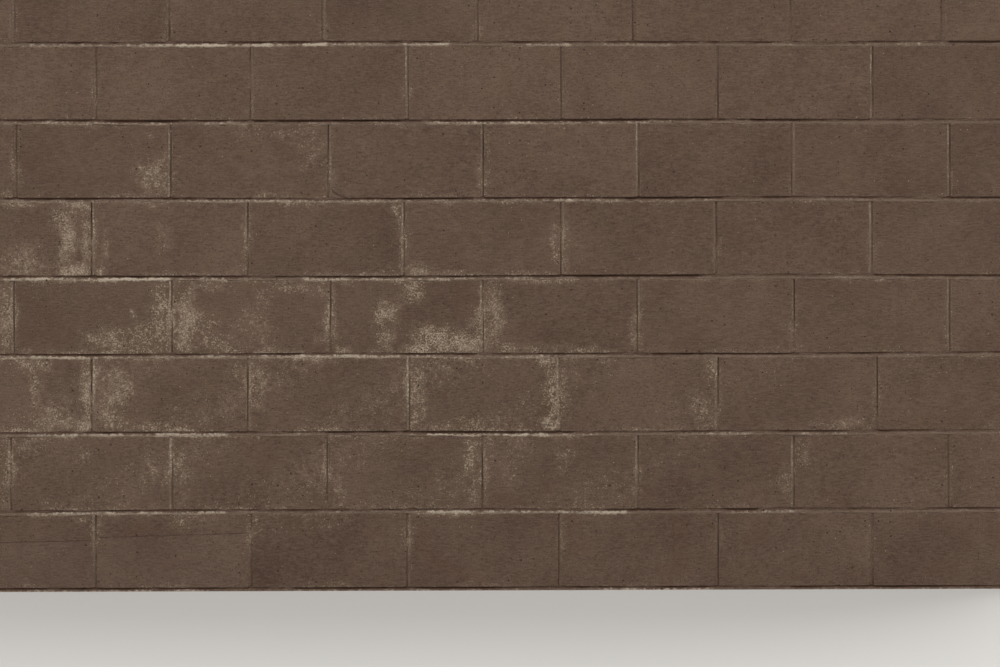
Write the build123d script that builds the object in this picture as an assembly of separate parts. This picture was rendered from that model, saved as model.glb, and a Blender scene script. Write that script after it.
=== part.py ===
from build123d import *
from math import sqrt
import os

# One panel of a free-standing garden wall of hollow concrete blocks in running bond.
# It ends plumb at both ends, as at a movement joint, with half blocks in every second
# course, and a course of solid cap blocks closes its top.
# X runs along the wall, Y runs through it from the front at -Y, and Z is up.
# The origin is at the middle of the foot. Lengths are in millimetres.

# The panel
COURSES = 9
BLOCKS_IN_A_COURSE = 7

# A full block has two cores, which narrow upwards. Its edges are a little worn.
BLOCK_LENGTH = 396.875
BLOCK_HEIGHT = 193.675
BLOCK_DEPTH = 193.675
FACE_SHELL = 32.0
WEB = 28.0
CORE_DRAFT_DEGREES = 1.5
ARRIS = 2.0

# A cap block is solid, and as long and as deep as a full block.
CAP_HEIGHT = 57.15

# Mortar joints are struck hollow with a round iron, which rides on the worn edges.
JOINT = 9.525
IRON_RADIUS = 11.1125

BOND_STEP = BLOCK_LENGTH + JOINT
COURSE_STEP = BLOCK_HEIGHT + JOINT
HALF_LENGTH = (BLOCK_LENGTH - JOINT) / 2
IRON_STAND_OFF = sqrt(IRON_RADIUS**2 - (JOINT / 2) ** 2)
WALL_LENGTH = BLOCKS_IN_A_COURSE * BOND_STEP - JOINT
WALL_TOP = COURSES * COURSE_STEP + JOINT + CAP_HEIGHT


def has_half_blocks(course):
    """Every second course begins and ends with a half block. The lowest has full ones only."""
    return course % 2 == 0


def foot_of(course):
    """Height of the underside of a course's mortar bed. The lowest course is number 1."""
    return (course - 1) * COURSE_STEP


def full_block_centres(course):
    """Places along the wall of the full blocks of a course."""
    count = BLOCKS_IN_A_COURSE - 1 if has_half_blocks(course) else BLOCKS_IN_A_COURSE
    return [(i - (count - 1) / 2) * BOND_STEP for i in range(count)]


def head_joint_centres(course):
    """Places along the wall of the upright joints of a course."""
    middles = full_block_centres(course)
    joints = [x + BOND_STEP / 2 for x in middles[:-1]]
    if has_half_blocks(course):
        joints = [middles[0] - BOND_STEP / 2] + joints + [middles[-1] + BOND_STEP / 2]
    return joints


def half_block_centres():
    """Places along the wall of the half blocks that end every second course."""
    reach = (WALL_LENGTH - HALF_LENGTH) / 2
    return [-reach, reach]


def standing_box(length, depth, height):
    """A box on the plane Z = 0, about the Z axis."""
    return Box(length, depth, height, align=(Align.CENTER, Align.CENTER, Align.MIN))


def worn_box(length, height):
    """A standing box as deep as the wall, whose edges are all worn by the arris."""
    box = standing_box(length, BLOCK_DEPTH, height)
    return chamfer(box.edges(), ARRIS)


def core(length):
    """The hollow of one core, open at both beds and narrower at the top."""
    mouth = Rectangle(length, BLOCK_DEPTH - 2 * FACE_SHELL)
    return extrude(mouth, BLOCK_HEIGHT, taper=CORE_DRAFT_DEGREES)


def full_block():
    core_length = (BLOCK_LENGTH - 3 * WEB) / 2
    core_centre = (core_length + WEB) / 2
    block = worn_box(BLOCK_LENGTH, BLOCK_HEIGHT)
    for side in (-1, 1):
        block -= Pos(side * core_centre, 0, 0) * core(core_length)
    return block


def half_block():
    return worn_box(HALF_LENGTH, BLOCK_HEIGHT) - core(HALF_LENGTH - 2 * WEB)


def iron_beside(surface):
    """Distance of the iron's axis from the middle plane when it strikes a joint of a surface."""
    return surface - ARRIS + IRON_STAND_OFF


def bed_grooves(height):
    """What the iron takes from the front, the back and both ends of a bed at a height."""
    grooves = []
    for side in (-1, 1):
        along = Rot(0, 90, 0) * Cylinder(IRON_RADIUS, 2 * WALL_LENGTH)
        grooves.append(Pos(0, side * iron_beside(BLOCK_DEPTH / 2), height) * along)
        across = Rot(90, 0, 0) * Cylinder(IRON_RADIUS, 2 * BLOCK_DEPTH)
        grooves.append(Pos(side * iron_beside(WALL_LENGTH / 2), 0, height) * across)
    return grooves


def head_grooves(course, low, high):
    """What the iron takes from the front and back of a course's upright joints."""
    iron = Cylinder(IRON_RADIUS, high - low)
    return [
        Pos(x, side * iron_beside(BLOCK_DEPTH / 2), (low + high) / 2) * iron
        for x in head_joint_centres(course)
        for side in (-1, 1)
    ]


def top_grooves(course):
    """What the iron takes from the top of the cap blocks' joints."""
    iron = Rot(90, 0, 0) * Cylinder(IRON_RADIUS, 2 * BLOCK_DEPTH)
    return [Pos(x, 0, iron_beside(WALL_TOP)) * iron for x in head_joint_centres(course)]


def bed(hollow):
    """A mortar bed on the plane Z = 0, either full or only under the shells and end webs."""
    mortar = standing_box(WALL_LENGTH, BLOCK_DEPTH, JOINT)
    if hollow:
        mortar -= standing_box(WALL_LENGTH - 2 * WEB, BLOCK_DEPTH - 2 * FACE_SHELL, JOINT)
    return mortar


def shell_heads(course):
    """The upright joints of a course on the plane Z = 0, as deep as the face shells."""
    strip = standing_box(JOINT, FACE_SHELL, COURSE_STEP)
    reach = (BLOCK_DEPTH - FACE_SHELL) / 2
    return [
        Pos(x, side * reach, 0) * strip
        for x in head_joint_centres(course)
        for side in (-1, 1)
    ]


def course_mortar(course):
    """The bed under a course and its upright joints, struck where they show."""
    foot = foot_of(course)
    bed_middle = foot + JOINT / 2
    mortar = bed(hollow=course > 1) + shell_heads(course)
    grooves = bed_grooves(bed_middle)
    grooves += head_grooves(course, bed_middle, bed_middle + COURSE_STEP)
    if course > 1:
        grooves += head_grooves(course - 1, bed_middle - COURSE_STEP, bed_middle)
    return Pos(0, 0, foot) * mortar - grooves


def cap_mortar(course):
    """The bed under the cap blocks and the joints between them, through the whole wall."""
    foot = foot_of(course)
    bed_middle = foot + JOINT / 2
    plate = standing_box(JOINT, BLOCK_DEPTH, JOINT + CAP_HEIGHT)
    mortar = bed(hollow=True) + [Pos(x, 0, 0) * plate for x in head_joint_centres(course)]
    grooves = bed_grooves(bed_middle)
    grooves += head_grooves(course, bed_middle, WALL_TOP + JOINT)
    grooves += head_grooves(course - 1, bed_middle - COURSE_STEP, bed_middle)
    grooves += top_grooves(course)
    return Pos(0, 0, foot) * mortar - grooves


def laid(block, centres, foot):
    """Copies of a block on top of a mortar bed."""
    return [Pos(x, 0, foot + JOINT) * block for x in centres]


def save(name, shapes):
    """Writes one named piece of the wall, which may be several solids that don't touch."""
    solids = [solid for shape in shapes for solid in shape.solids()]
    export_step(Compound(children=solids), f"parts/{name}.step")


os.makedirs("parts", exist_ok=True)
full = full_block()
half = half_block()
for course in range(1, COURSES + 1):
    foot = foot_of(course)
    save(f"course_{course}_blocks", laid(full, full_block_centres(course), foot))
    if has_half_blocks(course):
        save(f"course_{course}_half_blocks", laid(half, half_block_centres(), foot))
    save(f"course_{course}_mortar", [course_mortar(course)])

cap_course = COURSES + 1
foot = foot_of(cap_course)
cap = worn_box(BLOCK_LENGTH, CAP_HEIGHT)
save("cap_blocks", laid(cap, full_block_centres(cap_course), foot))
if has_half_blocks(cap_course):
    half_cap = worn_box(HALF_LENGTH, CAP_HEIGHT)
    save("half_cap_blocks", laid(half_cap, half_block_centres(), foot))
save("cap_mortar", [cap_mortar(cap_course)])
print("wall", WALL_LENGTH, BLOCK_DEPTH, WALL_TOP)
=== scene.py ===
# %% [markdown]
# # A painted concrete block wall
# The real object is one panel of a garden wall: hollow concrete blocks in running bond, mortar joints
# struck hollow with a round iron, and brown masonry paint rolled over everything. Its looks come from
# small things: edges that are a little worn, mortar smeared over them, a dark line under each course
# with a pale one below it, pinholes, and paint that salts have lifted in pale, grainy patches.
#
# The frame holds the exact solids. They are loaded first, and everything below is built around them.

# %% Load the wall
from math import cos, pi, radians, sin

import bpy
import numpy as np
from mathutils import Matrix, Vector
from mathutils.geometry import delaunay_2d_cdt


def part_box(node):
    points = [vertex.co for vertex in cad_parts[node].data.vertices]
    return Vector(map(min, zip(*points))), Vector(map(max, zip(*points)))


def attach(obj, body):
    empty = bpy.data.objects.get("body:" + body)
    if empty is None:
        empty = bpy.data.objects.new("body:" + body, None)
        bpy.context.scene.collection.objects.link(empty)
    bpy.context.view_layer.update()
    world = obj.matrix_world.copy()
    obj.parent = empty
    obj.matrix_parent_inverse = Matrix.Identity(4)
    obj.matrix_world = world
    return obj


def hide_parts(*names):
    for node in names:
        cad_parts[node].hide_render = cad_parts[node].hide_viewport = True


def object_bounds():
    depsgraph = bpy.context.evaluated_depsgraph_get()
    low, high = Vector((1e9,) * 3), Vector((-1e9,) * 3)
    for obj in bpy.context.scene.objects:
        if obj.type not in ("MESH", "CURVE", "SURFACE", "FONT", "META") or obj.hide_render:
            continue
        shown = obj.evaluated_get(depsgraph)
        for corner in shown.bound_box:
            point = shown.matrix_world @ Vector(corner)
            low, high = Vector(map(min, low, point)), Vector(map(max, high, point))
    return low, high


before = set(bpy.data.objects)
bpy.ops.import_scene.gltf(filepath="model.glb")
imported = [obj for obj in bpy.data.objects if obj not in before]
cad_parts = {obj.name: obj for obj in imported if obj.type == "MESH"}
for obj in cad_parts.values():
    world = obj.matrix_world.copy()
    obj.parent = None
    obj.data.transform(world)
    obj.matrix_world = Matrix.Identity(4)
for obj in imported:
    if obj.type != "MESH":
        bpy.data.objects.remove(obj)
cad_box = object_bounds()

MM = 0.001
scene = bpy.context.scene
print("nodes", len(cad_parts), "box", [[round(x, 4) for x in corner] for corner in cad_box])

# %% [markdown]
# ## Sizes
# A mason counts in blocks and courses, so the script does too. The sizes of a block and of a joint are
# read from the frame's boxes, and not typed in, so the dressed wall can't drift from the solids.

# %% Read a block and a joint from the frame
BLOCKS_IN_A_COURSE = 7
COURSES = 9
CAP_COURSE = COURSES + 1
block_low, block_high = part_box("course_1_blocks")
next_low, next_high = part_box("course_2_half_blocks")
cap_low, cap_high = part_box("cap_blocks")
JOINT = next_low.z - block_high.z
BLOCK_HEIGHT = block_high.z - block_low.z
WALL_LENGTH = block_high.x - block_low.x
WALL_DEPTH = block_high.y - block_low.y
BLOCK_LENGTH = (WALL_LENGTH + JOINT) / BLOCKS_IN_A_COURSE - JOINT
HALF_LENGTH = (BLOCK_LENGTH - JOINT) / 2
CAP_HEIGHT = cap_high.z - cap_low.z
COURSE_STEP = BLOCK_HEIGHT + JOINT
BOND_STEP = BLOCK_LENGTH + JOINT
print("block", round(BLOCK_LENGTH, 4), round(WALL_DEPTH, 4), round(BLOCK_HEIGHT, 4), "joint", round(JOINT, 5))

# %% [markdown]
# ## Camera
# The photo looks straight at the wall, from low down, with a lens that hardly widens. A normal lens
# on a 36 mm wide sensor fits the rows of joints to less than a pixel. The place and the small turns
# were found by matching where the joints cross in the picture.

# %% Put up the camera
LENS = 50.0
SENSOR = 36.0
CAMERA_ALONG = 24.9 * MM
CAMERA_AWAY = 3621.1 * MM
CAMERA_HEIGHT = 671.3 * MM
CAMERA_TURN, CAMERA_TILT, CAMERA_ROLL = radians(-0.329), radians(-0.021), radians(0.131)
camera = bpy.data.objects.new("camera", bpy.data.cameras.new("camera"))
camera.data.lens = LENS
camera.data.sensor_width = SENSOR
turned = (
    Matrix.Rotation(CAMERA_TURN, 4, "Z")
    @ Matrix.Rotation(CAMERA_TILT, 4, "X")
    @ Matrix.Rotation(CAMERA_ROLL, 4, "Y")
)
camera_place = (CAMERA_ALONG, -WALL_DEPTH / 2 - CAMERA_AWAY, CAMERA_HEIGHT)
camera.matrix_world = Matrix.Translation(camera_place) @ turned @ Matrix.Rotation(pi / 2, 4, "X")
scene.collection.objects.link(camera)
scene.camera = camera
print("camera", [round(x, 4) for x in camera_place])

# %% [markdown]
# ## Shader expressions
# Blender's shader maths is done by nodes, which are slow to read as code. A small class wraps one
# output socket, so that sums and products of masks can be written as Python expressions. Each
# operator adds one Math node. Colours don't go through it, because a Math node would turn them grey.
# Every other node comes from one method, which takes its type, its settings and its sockets' values.

# %% A mask that can be added and multiplied
class Mask:
    """The output of a shader node, as a number that changes over a surface."""

    def __init__(self, recipe, socket):
        self.recipe = recipe
        self.socket = socket

    def also(self, name):
        """Another output of the same node."""
        return Mask(self.recipe, self.socket.node.outputs[name])

    def maths(self, operation, first, second):
        return self.recipe.node("ShaderNodeMath", {"operation": operation}, {0: first, 1: second})

    def __add__(self, other):
        return self.maths("ADD", self, other)

    __radd__ = __add__

    def __sub__(self, other):
        return self.maths("SUBTRACT", self, other)

    def __rsub__(self, other):
        return self.maths("SUBTRACT", other, self)

    def __mul__(self, other):
        return self.maths("MULTIPLY", self, other)

    __rmul__ = __mul__

    def between(self, low, high):
        """0 where the mask is below low, 1 above high, and a soft step from one to the other."""
        sockets = {"Value": self, "From Min": low, "From Max": high}
        return self.recipe.node("ShaderNodeMapRange", {"interpolation_type": "SMOOTHSTEP"}, sockets)

    def swing(self, strength):
        """A noise, which stays about 0.5, as a push up or down of some strength."""
        return (self - 0.5) * strength


class Recipe:
    """The node tree of one material or world, and the ways to add to it."""

    def __init__(self, owner):
        self.owner = owner
        owner.use_nodes = True
        self.tree = owner.node_tree
        self.tree.nodes.clear()

    def node(self, kind, settings, sockets, output=0):
        made = self.tree.nodes.new(kind)
        for name, value in settings.items():
            setattr(made, name, value)
        for name, value in sockets.items():
            if isinstance(value, Mask):
                self.tree.links.new(value.socket, made.inputs[name])
            else:
                made.inputs[name].default_value = value
        return Mask(self, made.outputs[output]) if made.outputs else made

    def painted_on(self, name):
        """A mask that was stored on the mesh's points."""
        return self.node("ShaderNodeAttribute", {"attribute_name": name}, {}, "Fac")

    def noise(self, place, waves, finer, strength_of_finer=0.5):
        """Smooth noise: its waves in a metre, how many finer ones lie on them, and how strong those are."""
        sockets = {"Vector": place, "Scale": waves, "Detail": finer, "Roughness": strength_of_finer}
        return self.node("ShaderNodeTexNoise", {}, sockets)

    def blend(self, amount, first, second):
        """The first colour, turned into the second as amount goes from 0 to 1."""
        settings = {"data_type": "RGBA"}
        return self.node("ShaderNodeMix", settings, {0: amount, 6: first, 7: second}, 2)

    def vector(self, operation, first, second):
        return self.node("ShaderNodeVectorMath", {"operation": operation}, {0: first, 1: second})


def colour(red, green, blue):
    """A colour as it is written for a screen, from 0 to 255, as the light values of a shader."""
    written = np.array([red, green, blue]) / 255
    light = np.where(written <= 0.04045, written / 12.92, ((written + 0.055) / 1.055) ** 2.4)
    return (*light.tolist(), 1.0)


print("screen grey 128 is", round(colour(128, 128, 128)[0], 3), "as light")

# %% [markdown]
# ## Floor and light
# A plain pale floor and a pale surround let the wall be judged by itself. Outdoors the sky lights it
# from above, which draws the dark line under each course and the bright one on each upper edge. Two
# soft, distant lamps, high over the front and the back, do the same in the studio. A lamp of the sun
# type with a very wide disc is as soft as a large softbox. The surround fills the shadows. What the
# camera sees of it is set apart from the light it gives.

# %% Lay the floor
FLOOR_REACH = 60.0
floor_mesh = bpy.data.meshes.new("floor")
floor_corners = [(x * FLOOR_REACH, y * FLOOR_REACH, 0) for x, y in ((-1, -1), (1, -1), (1, 1), (-1, 1))]
floor_mesh.from_pydata(floor_corners, [], [(0, 1, 2, 3)])
floor = bpy.data.objects.new("floor", floor_mesh)
scene.collection.objects.link(floor)
floor_recipe = Recipe(bpy.data.materials.new("pale_floor"))
floor_sockets = {"Base Color": colour(190, 188, 184), "Roughness": 0.9, "Specular IOR Level": 0.1}
floor_shader = floor_recipe.node("ShaderNodeBsdfPrincipled", {}, floor_sockets)
floor_recipe.node("ShaderNodeOutputMaterial", {}, {"Surface": floor_shader})
floor_mesh.materials.append(floor_recipe.owner)
print("floor", 2 * FLOOR_REACH, "m square")

# %% Hang the lamps
SURROUND_LIGHT = 0.4
LAMP_LIGHT = 2.5
LAMP_SPREAD = radians(50)
LAMP_HEIGHT = radians(55)
LAMP_TURN = radians(-22)


def hang_lamp(name, turn):
    """A soft, distant lamp. Without a turn it shines from the front of the wall to the back."""
    lamp = bpy.data.objects.new(name, bpy.data.lights.new(name, "SUN"))
    lamp.data.energy = LAMP_LIGHT
    lamp.data.angle = LAMP_SPREAD
    lamp.rotation_euler = (pi / 2 - LAMP_HEIGHT, 0, turn)
    lamp.location = (0, 0, 4)
    scene.collection.objects.link(lamp)


hang_lamp("front_lamp", LAMP_TURN)
hang_lamp("back_lamp", pi + LAMP_TURN)

surround = Recipe(bpy.data.worlds.new("surround"))
by_camera = surround.node("ShaderNodeLightPath", {}, {}, "Is Camera Ray")
seen = by_camera.maths("MAXIMUM", by_camera, by_camera.also("Is Glossy Ray"))
seen = seen.maths("MAXIMUM", seen, by_camera.also("Is Transmission Ray"))
white = {"Color": (1.0, 1.0, 1.0, 1.0), "Strength": seen * (1 - SURROUND_LIGHT) + SURROUND_LIGHT}
surround.node("ShaderNodeOutputWorld", {}, {"Surface": surround.node("ShaderNodeBackground", {}, white)})
scene.world = surround.owner
scene.view_settings.view_transform = "Standard"

# %% [markdown]
# ## Random lines
# Nothing a mason makes is straight or even. All unevenness of the shapes comes from one helper that
# smooths random numbers along a path. Each block and joint gets a generator with its own seed, so the
# wall comes out the same every time. Seeds from a hundred up are no block's number.

# %% Smooth random lines
BED_SEED, HEAD_SEED, SWAY_SEED = 100, 200, 300
FEWEST_KNOTS = 4


def generator(*numbers):
    """Random numbers that are the same in every run, for one named thing."""
    return np.random.default_rng(numbers)


def eased(share):
    """A soft step: 0 up to a share of 0, and 1 from a share of 1 on."""
    share = np.clip(share, 0, 1)
    return share * share * (3 - 2 * share)


def wander(places, spacing, rng):
    """A smooth random line from -1 to 1 along a closed path, whose knots are about a spacing apart."""
    whole = places[-1] + places[1]
    knots = max(FEWEST_KNOTS, round(whole / spacing))
    heights = rng.uniform(-1, 1, knots)
    at = places / whole * knots
    before = np.floor(at).astype(int)
    share = eased(at - before)
    return heights[before % knots] * (1 - share) + heights[(before + 1) % knots] * share


line = wander(np.arange(0, 1, 0.005), 0.1, generator(1))
print("a random line of", len(line), "points, from", round(line.min(), 2), "to", round(line.max(), 2))

# %% [markdown]
# ## How the mason set it out
# Odd courses are whole blocks, and even ones, with the caps, start and end with a half. No upright
# joint stands quite where it should. The list has how far each stands off, in millimetres, as read
# from the photo. Beds rise and fall by a millimetre or two as well, as three long waves.

# %% Set out the joints
OFF_TRUE = {
    1: (6, 4, 9, -2, 2, 0),
    2: (-11, 2, -2, 2, -3, -3, 1),
    3: (1, 1, 10, -5, 3, 12),
    4: (-3, 1, 8, -1, 1, -1, -1),
    5: (2, -4, -3, 5, -1, -1),
    6: (5, -1, 9, 0, 0, -1, 0),
    7: (10, 10, 8, 7, 4, 2),
    8: (1, -3, -6, -13, -9, -9, -15),
    9: (-2, 1, 3, -1, -2, 2),
    10: (2, 0, -3, 1, 3, -1, 0),
}
SWAY = 0.9 * MM
SWAY_LENGTHS = (1.9, 0.83, 0.37)
SWAY_SHARES = (1.0, 0.6, 0.35)


def has_half_blocks(course):
    return course % 2 == 0


def head_joints(course):
    """Middles of the upright joints of a course, from the left."""
    first = BOND_STEP * (0.5 if has_half_blocks(course) else 1.0)
    off_true = np.array(OFF_TRUE[course])
    return -(WALL_LENGTH + JOINT) / 2 + first + BOND_STEP * np.arange(len(off_true)) + off_true * MM


def block_spans(course):
    """The left and right ends of the blocks of a course."""
    joints = head_joints(course)
    left = np.concatenate([[-WALL_LENGTH / 2], joints + JOINT / 2])
    right = np.concatenate([joints - JOINT / 2, [WALL_LENGTH / 2]])
    return list(zip(left, right))


def bed_foot(course):
    return (course - 1) * COURSE_STEP


def sway(course, x):
    """How far a course's bed lies above its true line."""
    if course == 1:
        return 0 * x
    starts = generator(course, SWAY_SEED).uniform(0, 2 * pi, len(SWAY_LENGTHS))
    waves = [np.sin(2 * pi * x / length + start) for length, start in zip(SWAY_LENGTHS, starts)]
    return SWAY * sum(share * wave for share, wave in zip(SWAY_SHARES, waves))


print("upright joints of course 1", (head_joints(1) / MM).round(1))

# %% [markdown]
# ## Where salts have lifted the paint
# Damp carries salts to the face of the blocks, and the paint turns pale and grainy there. In the photo
# this happens in patches along the edges of blocks, mostly in the lower courses and left of the
# middle, and a patch ends where its block ends. So the patches are listed by course, and a block takes
# the ones whose middle it holds: place along the wall, height, half the width, half the height, all in
# millimetres, and how strong in percent.

# %% List the pale patches
PALE_PATCHES = {
    1: (
        (-1040, 190, 22, 9, 50), (-1130, 196, 80, 5, 35), (-790, 180, 20, 20, 50), (-745, 190, 50, 9, 35),
        (-590, 180, 10, 20, 40), (-415, 180, 60, 20, 30), (-90, 200, 95, 6, 60),
    ),
    2: (
        (-1245, 300, 15, 95, 45), (-1192, 385, 20, 20, 45), (-1035, 350, 15, 22, 40),
        (-1125, 228, 40, 13, 35), (-870, 370, 10, 30, 40), (-860, 320, 13, 22, 45), (-882, 280, 13, 25, 40),
        (-830, 300, 10, 80, 30), (-790, 340, 14, 42, 55), (-775, 300, 16, 45, 40), (-780, 230, 16, 16, 35),
        (-430, 340, 25, 50, 25), (-375, 260, 16, 50, 35), (-30, 340, 19, 60, 60), (-25, 255, 15, 40, 45),
        (20, 380, 20, 15, 40), (110, 388, 50, 9, 35), (75, 290, 20, 30, 35), (210, 355, 30, 42, 30),
        (350, 260, 40, 42, 30), (795, 275, 20, 40, 40), (835, 355, 20, 40, 40),
    ),
    3: (
        (-1180, 592, 40, 13, 65), (-1135, 590, 13, 15, 55), (-1170, 545, 14, 55, 58),
        (-1160, 480, 17, 17, 55), (-1120, 447, 60, 28, 60), (-1028, 520, 17, 90, 70),
        (-1035, 430, 25, 20, 85), (-955, 575, 38, 20, 50), (-956, 520, 42, 60, 55), (-970, 447, 32, 22, 66),
        (-900, 429, 95, 9, 50), (-850, 435, 55, 11, 35), (-820, 436, 8, 8, 70), (-795, 470, 6, 6, 70),
        (-860, 560, 50, 40, 20), (-635, 578, 25, 25, 42), (-612, 530, 8, 70, 35), (-580, 540, 22, 62, 50),
        (-215, 580, 8, 25, 40), (-230, 535, 15, 20, 35), (-180, 450, 15, 42, 55), (-168, 530, 22, 80, 55),
        (-130, 585, 60, 20, 40), (-110, 424, 52, 9, 55), (-20, 436, 40, 19, 50), (40, 438, 30, 15, 42),
        (-35, 600, 25, 9, 50), (184, 510, 21, 95, 62), (165, 598, 25, 11, 80), (175, 430, 20, 16, 90),
        (215, 510, 10, 60, 42), (230, 602, 20, 8, 50), (600, 580, 20, 34, 50), (575, 470, 35, 50, 40),
        (940, 430, 80, 16, 40),
    ),
    4: (
        (-1240, 715, 22, 95, 55), (-1195, 624, 20, 12, 40), (-838, 710, 26, 92, 60),
        (-895, 662, 48, 36, 55), (-965, 648, 45, 30, 60), (-1020, 650, 28, 25, 50), (-860, 627, 60, 10, 50),
        (-972, 738, 4, 4, 70), (-908, 725, 4, 8, 80), (-772, 700, 28, 92, 68), (-715, 688, 25, 50, 42),
        (-720, 792, 60, 13, 40), (-685, 640, 40, 24, 50), (-600, 680, 50, 60, 35), (-565, 770, 25, 25, 35),
        (-500, 792, 50, 11, 55), (-420, 785, 20, 20, 45), (-430, 660, 15, 25, 30), (-386, 690, 8, 70, 40),
        (-372, 628, 25, 12, 60), (-265, 715, 18, 34, 70), (-235, 720, 15, 25, 70), (-250, 660, 20, 32, 56),
        (-270, 630, 25, 12, 35), (-185, 784, 28, 26, 70), (-120, 660, 48, 28, 86), (-165, 632, 35, 14, 90),
        (-60, 650, 40, 25, 80), (-22, 640, 22, 25, 75), (-20, 700, 14, 40, 45), (-5, 730, 6, 70, 56),
        (32, 715, 22, 95, 55), (70, 632, 25, 13, 60), (180, 627, 30, 8, 40), (130, 805, 70, 5, 50),
        (150, 628, 90, 12, 40), (290, 634, 15, 12, 35), (395, 670, 12, 45, 40),
    ),
    5: (
        (-1200, 1008, 45, 7, 60), (-1055, 1005, 40, 9, 70), (-1080, 925, 20, 85, 68),
        (-1031, 915, 11, 95, 60), (-1110, 970, 15, 25, 50), (-1062, 838, 45, 18, 85),
        (-1200, 858, 52, 42, 50), (-990, 830, 12, 15, 70), (-980, 900, 9, 30, 55), (-835, 920, 20, 45, 35),
        (-860, 1003, 7, 4, 70), (-222, 985, 12, 30, 50), (-165, 830, 36, 17, 55), (-55, 825, 90, 7, 45),
        (187, 910, 9, 60, 42), (180, 825, 15, 6, 50), (217, 900, 8, 60, 50), (220, 830, 8, 10, 50),
    ),
    6: (
        (-855, 1075, 42, 45, 55), (-870, 1190, 10, 10, 40), (-445, 1155, 45, 50, 30),
        (-1235, 1040, 15, 15, 50), (-520, 1195, 125, 18, 25), (15, 1130, 10, 85, 30),
    ),
}


print("patches", sum(len(patches) for patches in PALE_PATCHES.values()))

# %% [markdown]
# Besides, a fainter fringe follows the edges of every block, and in the lower courses single specks
# lie all over the face. Both fade to the right of the photo. Waves bend every outline, because damp
# keeps to no straight line. The mask is stored on the points, and the shader breaks it into grains.

# %% Spread the salts
FRINGES = {1: 0.4, 2: 0.54, 3: 0.62, 4: 0.64, 5: 0.48, 6: 0.38, 7: 0.3, 8: 0.24, 9: 0.16}
SCATTER = {1: 0.12, 2: 0.22, 3: 0.24, 4: 0.1, 5: 0.06}
FRINGE_WIDTH = 17.0
FADES_FROM, FADES_OVER, FADES_BY = -100, 900, 0.5
BEND, BENT_LIKE_THE_WIDEST = 0.24, 40
PATCH_END, PATCH_FADE = 2.05, 2.0
SQUARENESS = 3


def patch_at(across, up, along, height, wide, tall, percent):
    """How strong one patch is at a place."""
    bend = BEND * min(wide, tall, BENT_LIKE_THE_WIDEST)
    aside = across - along + bend * (np.sin(up / 17 + along) + 0.6 * np.sin(up / 7 + across / 11))
    above = up - height + bend * (np.sin(across / 21 + height) + 0.6 * np.sin(across / 8 - up / 13))
    away = (np.abs(aside / wide) ** SQUARENESS + np.abs(above / tall) ** SQUARENESS) ** (1 / SQUARENESS)
    return percent / 100 * eased((PATCH_END - away) / PATCH_FADE)


def bloom_at(x, z, course, left, right):
    """How far salts have lifted the paint of one block, from 0 to 1."""
    across, up = x / MM, z / MM
    low, high = bed_foot(course) + JOINT, bed_foot(course + 1)
    inside = np.minimum.reduce([x - left, right - x, z - low, high - z]) / MM
    ragged = 0.5 * np.sin(across / 31 + up / 23 + course) + 0.4 * np.sin(across / 13 - up / 17)
    patchy = 0.65 + 0.35 * np.sin(across / 67 - up / 37 + 2 * course)
    faded = 1 - FADES_BY * eased((across - FADES_FROM) / FADES_OVER)
    fringe = FRINGES.get(course, 0) * eased(1 - inside / (FRINGE_WIDTH * (1 + ragged)))
    lifted = np.maximum(fringe, SCATTER.get(course, 0)) * patchy * faded
    for patch in PALE_PATCHES.get(course, ()):
        if left <= patch[0] * MM <= right:
            lifted = np.maximum(lifted, patch_at(across, up, *patch))
    return lifted


middle_of_a_patch = [np.array([place * MM]) for place in (-1028, 520)]
print("salts there", bloom_at(*middle_of_a_patch, 3, *block_spans(3)[0]).round(2))
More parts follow.
